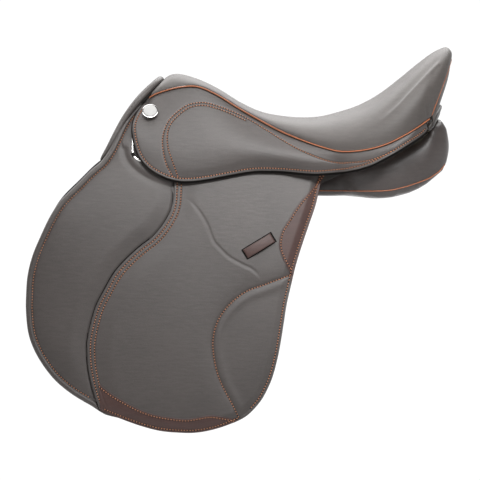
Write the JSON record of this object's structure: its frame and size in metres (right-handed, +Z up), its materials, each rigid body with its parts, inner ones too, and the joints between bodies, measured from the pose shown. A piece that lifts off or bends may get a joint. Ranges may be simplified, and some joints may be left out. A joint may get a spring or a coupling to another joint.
{
  "type": "english saddle",
  "caption": "English jumping saddle with a deep seat, forward-cut flaps that lift, padded knee area, flocked panels, stirrup bars, dees and girth billets.",
  "frame": {"origin": "on the centre plane, level with the lowest line of the panels, at the middle of their length", "axes": "+X towards the cantle, +Y towards the off (right) side, +Z up; the saddle is mirrored about the XZ plane"},
  "size_m": [0.6184, 0.4146, 0.556],
  "materials": {
    "grey_leather": "waxed grain",
    "dark_leather": "soft grain",
    "brown_leather": "satin",
    "rust_piping": "satin",
    "webbing": "woven",
    "foam": "matt foam",
    "laminated_wood": "raw",
    "steel": "brushed",
    "nickel": "polished nickel"
  },
  "bodies": {
    "saddle": {"tree_head": "laminated_wood", "tree_rails": "laminated_wood", "tree_cantle": "laminated_wood", "head_plate": "steel", "gullet_plate": "steel", "spring_steels": "steel", "tree_rivets": "steel", "seat_webs": "webbing", "seat_foam": "foam", "seat_cover": "grey_leather", "cantle_back_panel": "grey_leather", "seat_welt": "rust_piping", "cantle_band": "brown_leather", "pommel_roll": "grey_leather", "left_panel": "dark_leather", "right_panel": "dark_leather", "panel_piping": "rust_piping", "left_sweat_flap": "dark_leather", "right_sweat_flap": "dark_leather", "left_knee_block": "dark_leather", "right_knee_block": "dark_leather", "left_thigh_block": "dark_leather", "right_thigh_block": "dark_leather", "left_stirrup_bar": "steel", "right_stirrup_bar": "steel", "bar_rivets": "steel", "left_flap_head": "grey_leather", "right_flap_head": "grey_leather", "left_dee_chape": "dark_leather", "right_dee_chape": "dark_leather", "left_skirt_top": "grey_leather", "right_skirt_top": "grey_leather", "skirt_studs": "nickel", "billet_webs": "webbing"},
    "left_flap_leaf": {"left_flap": "grey_leather", "left_knee_pad": "grey_leather", "left_flap_cover": "grey_leather", "left_patches": "brown_leather", "left_keeper": "brown_leather"},
    "left_skirt_leaf": {"left_skirt": "grey_leather"},
    "left_catch": {"left_bar_catch": "steel"},
    "left_dee_ring": {"left_dee": "nickel"},
    "left_front_strap": {"left_front_billet": "brown_leather"},
    "left_middle_strap": {"left_middle_billet": "brown_leather"},
    "left_rear_strap": {"left_rear_billet": "brown_leather"},
    "left_guard": {"left_buckle_guard": "dark_leather"},
    "right_flap_leaf": {"right_flap": "grey_leather", "right_knee_pad": "grey_leather", "right_flap_cover": "grey_leather", "right_patches": "brown_leather", "right_keeper": "brown_leather"},
    "right_skirt_leaf": {"right_skirt": "grey_leather"},
    "right_catch": {"right_bar_catch": "steel"},
    "right_dee_ring": {"right_dee": "nickel"},
    "right_front_strap": {"right_front_billet": "brown_leather"},
    "right_middle_strap": {"right_middle_billet": "brown_leather"},
    "right_rear_strap": {"right_rear_billet": "brown_leather"},
    "right_guard": {"right_buckle_guard": "dark_leather"}
  },
  "joints": [
    {"name": "left_flap_lift", "type": "hinge", "parent": "saddle", "child": "left_flap_leaf", "pos_m": [-0.13, -0.09934, 0.024], "axis": [-1, 0, 0], "range_deg": [0, 65]},
    {"name": "left_skirt_lift", "type": "hinge", "parent": "saddle", "child": "left_skirt_leaf", "pos_m": [-0.229, -0.07705, 0.116], "axis": [-0.9654, 0.1497, 0.2134], "range_deg": [0, 100]},
    {"name": "left_catch_turn", "type": "hinge", "parent": "saddle", "child": "left_catch", "pos_m": [-0.091, -0.08766, 0.08504], "axis": [0, -0.9063, 0.4226], "range_deg": [0, 80]},
    {"name": "left_dee_swing", "type": "hinge", "parent": "saddle", "child": "left_dee_ring", "pos_m": [-0.215, -0.0816, 0.088], "axis": [-1, 0, 0], "range_deg": [-3, 3]},
    {"name": "left_front_billet_swing", "type": "hinge", "parent": "saddle", "child": "left_front_strap", "pos_m": [-0.15, -0.09, 0.03], "axis": [0, -0.9578, 0.2874], "range_deg": [-4, 4]},
    {"name": "left_middle_billet_swing", "type": "hinge", "parent": "saddle", "child": "left_middle_strap", "pos_m": [-0.112, -0.09, 0.03], "axis": [0, -0.9578, 0.2874], "range_deg": [-4, 4]},
    {"name": "left_rear_billet_swing", "type": "hinge", "parent": "saddle", "child": "left_rear_strap", "pos_m": [-0.074, -0.09, 0.03], "axis": [0, -0.9578, 0.2874], "range_deg": [-4, 4]},
    {"name": "left_guard_slide", "type": "slide", "parent": "left_middle_strap", "child": "left_guard", "axis": [0, -0.2874, -0.9578], "range_m": [0, 0.06]},
    {"name": "right_flap_lift", "type": "hinge", "parent": "saddle", "child": "right_flap_leaf", "pos_m": [-0.13, 0.09934, 0.024], "axis": [1, 0, 0], "range_deg": [0, 65]},
    {"name": "right_skirt_lift", "type": "hinge", "parent": "saddle", "child": "right_skirt_leaf", "pos_m": [-0.229, 0.07705, 0.116], "axis": [0.9654, 0.1497, -0.2134], "range_deg": [0, 100]},
    {"name": "right_catch_turn", "type": "hinge", "parent": "saddle", "child": "right_catch", "pos_m": [-0.091, 0.08766, 0.08504], "axis": [0, -0.9063, -0.4226], "range_deg": [0, 80]},
    {"name": "right_dee_swing", "type": "hinge", "parent": "saddle", "child": "right_dee_ring", "pos_m": [-0.215, 0.0816, 0.088], "axis": [1, 0, 0], "range_deg": [-3, 3]},
    {"name": "right_front_billet_swing", "type": "hinge", "parent": "saddle", "child": "right_front_strap", "pos_m": [-0.15, 0.09, 0.03], "axis": [0, 0.9578, 0.2874], "range_deg": [-4, 4]},
    {"name": "right_middle_billet_swing", "type": "hinge", "parent": "saddle", "child": "right_middle_strap", "pos_m": [-0.112, 0.09, 0.03], "axis": [0, 0.9578, 0.2874], "range_deg": [-4, 4]},
    {"name": "right_rear_billet_swing", "type": "hinge", "parent": "saddle", "child": "right_rear_strap", "pos_m": [-0.074, 0.09, 0.03], "axis": [0, 0.9578, 0.2874], "range_deg": [-4, 4]},
    {"name": "right_guard_slide", "type": "slide", "parent": "right_middle_strap", "child": "right_guard", "axis": [0, 0.2874, -0.9578], "range_m": [0, 0.06]}
  ],
  "couplings": [
    {"joint": "left_middle_billet_swing", "follows": "left_front_billet_swing", "ratio": 1},
    {"joint": "left_rear_billet_swing", "follows": "left_front_billet_swing", "ratio": 1},
    {"joint": "right_middle_billet_swing", "follows": "right_front_billet_swing", "ratio": 1},
    {"joint": "right_rear_billet_swing", "follows": "right_front_billet_swing", "ratio": 1}
  ]
}
